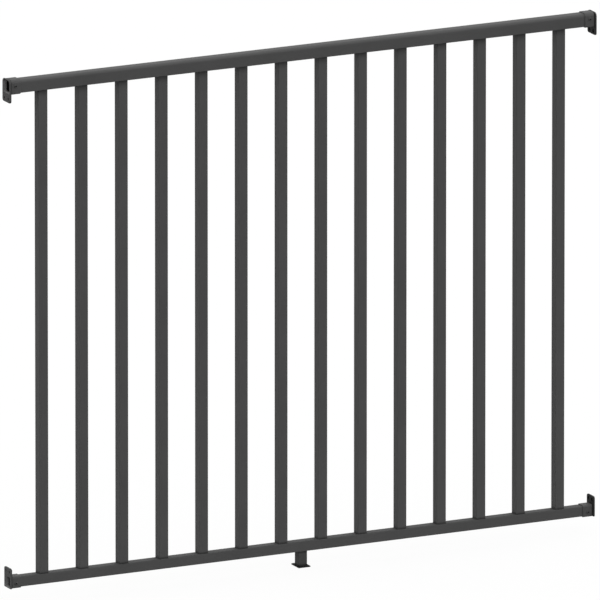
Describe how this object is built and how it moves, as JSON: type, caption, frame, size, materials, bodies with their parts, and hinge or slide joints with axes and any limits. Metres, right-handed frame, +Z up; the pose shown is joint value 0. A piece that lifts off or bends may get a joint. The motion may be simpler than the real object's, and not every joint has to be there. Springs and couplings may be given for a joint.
{
  "type": "pool fence panel",
  "caption": "Welded aluminium fence panel with square pickets between a domed top rail and a slim bottom rail, socket brackets at the rail ends and a support foot.",
  "frame": {"origin": "on the post side of the lower left bracket's plate, on the panel's middle plane, 4 mm above the bottom rail", "axes": "+X along the fence from the left post to the right one, +Y to the back, +Z up"},
  "size_m": [1.6829, 0.047, 1.3927],
  "materials": {
    "picket_coat": "satin powder coat",
    "rail_coat": "satin powder coat",
    "bracket_coat": "satin powder coat",
    "foot_plate_coat": "satin powder coat"
  },
  "bodies": {
    "root": {"picket_01": "picket_coat", "picket_02": "picket_coat", "picket_03": "picket_coat", "picket_04": "picket_coat", "picket_05": "picket_coat", "picket_06": "picket_coat", "picket_07": "picket_coat", "picket_08": "picket_coat", "picket_09": "picket_coat", "picket_10": "picket_coat", "picket_11": "picket_coat", "picket_12": "picket_coat", "picket_13": "picket_coat", "picket_14": "picket_coat", "top_rail": "rail_coat", "bottom_rail": "rail_coat", "bracket_top_left": "bracket_coat", "bracket_top_right": "bracket_coat", "bracket_bottom_left": "bracket_coat", "bracket_bottom_right": "bracket_coat", "foot_tube": "rail_coat", "foot_plate": "foot_plate_coat"}
  },
  "joints": []
}
